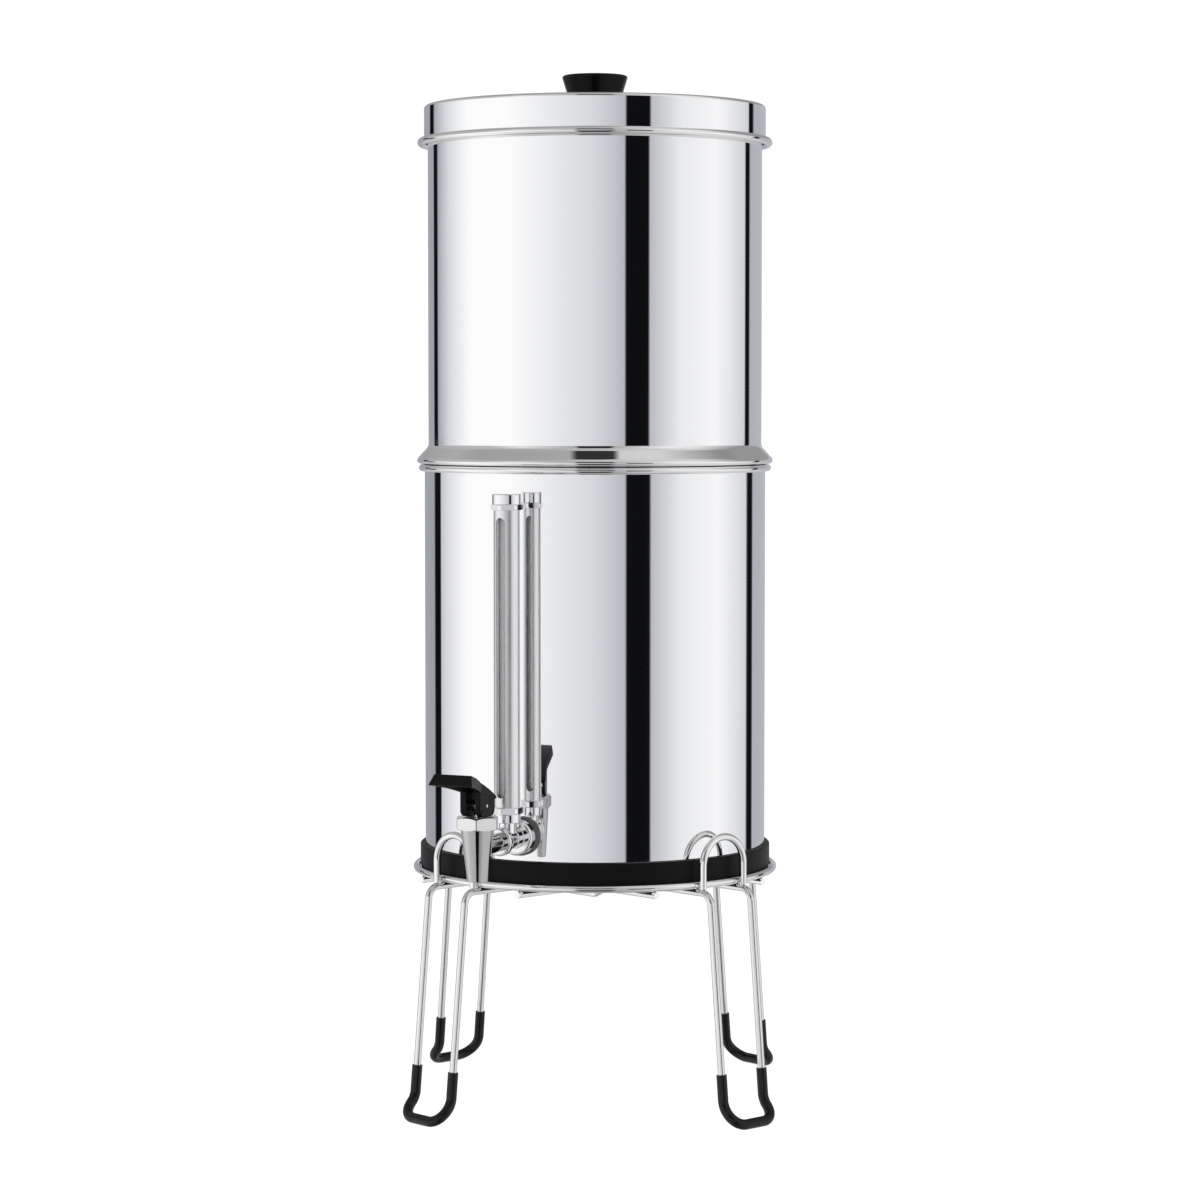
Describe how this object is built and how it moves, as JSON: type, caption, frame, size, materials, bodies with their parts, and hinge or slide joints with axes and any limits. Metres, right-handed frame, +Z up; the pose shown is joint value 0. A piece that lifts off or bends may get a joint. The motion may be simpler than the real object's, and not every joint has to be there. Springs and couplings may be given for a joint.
{
  "type": "gravity water filter",
  "caption": "Nested steel chambers on a wire stand with rubber feet, a shielded sight glass, a spring-closed lever tap, carbon filters inside and a knobbed lid.",
  "frame": {"origin": "on the chambers' axis, on the surface that the four feet stand on", "axes": "+Z up along the chambers' axis; the tap points along -Y; +X is to the right of the tap as seen from its front"},
  "size_m": [0.2798, 0.3444, 0.6449],
  "materials": {
    "polished_steel": "polished",
    "chrome_wire": "polished",
    "tap_metal": "polished",
    "satin_steel": "satin",
    "spring_steel": "satin",
    "sleeve_rubber": "glossy",
    "boot_rubber": "satin",
    "seal_rubber": "matt",
    "filter_plastic": "matt",
    "carbon": "matt",
    "knob_plastic": "glossy",
    "lever_plastic": "satin",
    "glass_tube": "clear"
  },
  "bodies": {
    "stand": {"support_ring": "chrome_wire", "cross_rods": "chrome_wire", "leg_wire_1": "chrome_wire", "leg_wire_2": "chrome_wire", "leg_wire_3": "chrome_wire", "leg_wire_4": "chrome_wire", "foot_sleeve_1": "sleeve_rubber", "foot_sleeve_2": "sleeve_rubber", "foot_sleeve_3": "sleeve_rubber", "foot_sleeve_4": "sleeve_rubber", "retaining_loop_1": "chrome_wire", "retaining_loop_2": "chrome_wire", "retaining_loop_3": "chrome_wire", "retaining_loop_4": "chrome_wire"},
    "lower_vessel": {"lower_chamber": "polished_steel", "base_boot": "boot_rubber", "wall_washer_outer": "seal_rubber", "wall_washer_inner": "seal_rubber", "wall_nut": "tap_metal", "sight_tee": "tap_metal", "tap_washer": "tap_metal", "tap_collar": "tap_metal", "tap_body": "tap_metal", "tap_bonnet": "satin_steel", "sight_bottom_nut": "tap_metal", "sight_tube": "glass_tube", "sight_shield": "polished_steel", "sight_top_nut": "tap_metal", "sight_cap": "tap_metal", "sight_seals": "seal_rubber"},
    "stem": {"valve_stem": "tap_metal", "seat_cup": "seal_rubber", "valve_spring": "spring_steel"},
    "lever": {"tap_lever": "lever_plastic", "lever_pin": "spring_steel"},
    "upper_vessel": {"upper_chamber": "polished_steel", "filter_base_1": "filter_plastic", "filter_base_2": "filter_plastic", "carbon_block_1": "carbon", "carbon_block_2": "carbon", "filter_cap_1": "filter_plastic", "filter_cap_2": "filter_plastic", "filter_seals": "seal_rubber", "wing_nuts": "filter_plastic"},
    "lid": {"lid": "polished_steel", "lid_knob": "knob_plastic", "knob_screw": "spring_steel", "knob_washer": "spring_steel"}
  },
  "joints": [
    {"name": "vessel_lift", "type": "slide", "parent": "stand", "child": "lower_vessel", "axis": [0, 0, 1], "range_m": [0, 0.08]},
    {"name": "upper_lift", "type": "slide", "parent": "lower_vessel", "child": "upper_vessel", "axis": [0, 0, 1], "range_m": [0, 0.1]},
    {"name": "lid_lift", "type": "slide", "parent": "upper_vessel", "child": "lid", "axis": [0, 0, 1], "range_m": [0, 0.08]},
    {"name": "stem_lift", "type": "slide", "parent": "lower_vessel", "child": "stem", "axis": [0, 0, 1], "range_m": [0, 0.0026], "deforming": ["valve_spring"]},
    {"name": "lever_press", "type": "hinge", "parent": "stem", "child": "lever", "pos_m": [0, -0.1683, 0.20245], "axis": [1, 0, 0], "range_deg": [0, 45], "stiffness_Nm_per_rad": 0.04, "springref_deg": -28.65}
  ],
  "couplings": [
    {"joint": "stem_lift", "follows": "lever_press", "m_per_rad": 0.0033}
  ]
}
